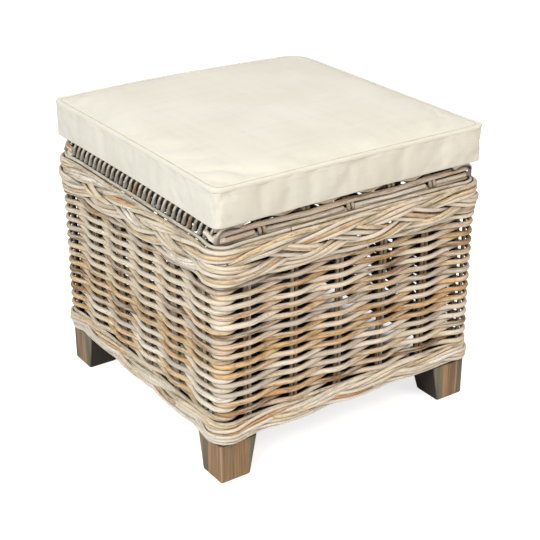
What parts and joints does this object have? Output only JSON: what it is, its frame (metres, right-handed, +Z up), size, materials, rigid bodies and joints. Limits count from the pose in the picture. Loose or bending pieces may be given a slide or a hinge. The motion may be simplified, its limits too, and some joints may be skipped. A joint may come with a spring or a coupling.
{
  "type": "woven footstool",
  "caption": "Square woven cane footstool on tapered wooden legs, with a plaited rim, an open inside and a loose box cushion that lifts off.",
  "frame": {"origin": "on the floor, under the middle of the stool", "axes": "+Z up, -Y to the front, +X to the right seen from the front"},
  "size_m": [0.468, 0.468, 0.4497],
  "materials": {
    "leg_wood": "weathered brown, dull",
    "frame_pole": "bare pole, dull",
    "stake_cane": "grey-washed cane, dull",
    "weaver_cane": "grey-washed cane, dull",
    "band_cane": "pale grey-washed cane, dull",
    "cotton_cloth": "cream plain-weave cotton",
    "foam": "open-cell foam",
    "zip_metal": "satin metal"
  },
  "bodies": {
    "stool": {"leg_front_left": "leg_wood", "leg_front_right": "leg_wood", "leg_back_right": "leg_wood", "leg_back_left": "leg_wood", "corner_post_front_left": "frame_pole", "corner_post_front_right": "frame_pole", "corner_post_back_right": "frame_pole", "corner_post_back_left": "frame_pole", "stake_frame_front_right": "stake_cane", "stake_frame_back_left": "stake_cane", "weaver_row_01": "weaver_cane", "weaver_row_02": "weaver_cane", "weaver_row_03": "weaver_cane", "weaver_row_04": "weaver_cane", "weaver_row_05": "weaver_cane", "weaver_row_06": "weaver_cane", "weaver_row_07": "weaver_cane", "weaver_row_08": "weaver_cane", "weaver_row_09": "weaver_cane", "weaver_row_10": "weaver_cane", "weaver_row_11": "weaver_cane", "weaver_row_12": "weaver_cane", "weaver_row_13": "weaver_cane", "weaver_row_14": "weaver_cane", "weaver_row_15": "weaver_cane", "weaver_row_16": "weaver_cane", "weaver_row_17": "weaver_cane", "weaver_row_18": "weaver_cane", "weaver_row_19": "weaver_cane", "weaver_row_20": "weaver_cane", "weaver_row_21": "weaver_cane", "weaver_row_22": "weaver_cane", "weaver_row_23": "weaver_cane", "weaver_row_24": "weaver_cane", "weaver_row_25": "weaver_cane", "weaver_row_26": "weaver_cane", "weaver_row_27": "weaver_cane", "weaver_row_28": "weaver_cane", "foot_band_strand_1": "band_cane", "foot_band_strand_2": "band_cane", "foot_band_strand_3": "band_cane", "top_plait_strand_1": "band_cane", "top_plait_strand_2": "band_cane", "top_plait_strand_3": "band_cane", "top_plait_strand_4": "band_cane", "end_rail_front": "frame_pole", "end_rail_back": "frame_pole", "side_rail_left": "frame_pole", "side_rail_right": "frame_pole", "seat_weaver": "weaver_cane", "seat_stake_1": "stake_cane", "seat_stake_2": "stake_cane", "seat_stake_3": "stake_cane", "seat_stake_4": "stake_cane", "seat_stake_5": "stake_cane", "seat_edge_weaver_front": "weaver_cane", "seat_edge_weaver_back": "weaver_cane"},
    "cushion": {"cushion_cover": "cotton_cloth", "cushion_foam": "foam"},
    "zip_slider": {"zip_slider": "zip_metal"}
  },
  "joints": [
    {"name": "cushion_lift", "type": "slide", "parent": "stool", "child": "cushion", "axis": [0, 0, 1], "range_m": [0, 0.25]},
    {"name": "zip_slide", "type": "slide", "parent": "cushion", "child": "zip_slider", "axis": [-1, 0, 0], "range_m": [0, 0.35]}
  ]
}
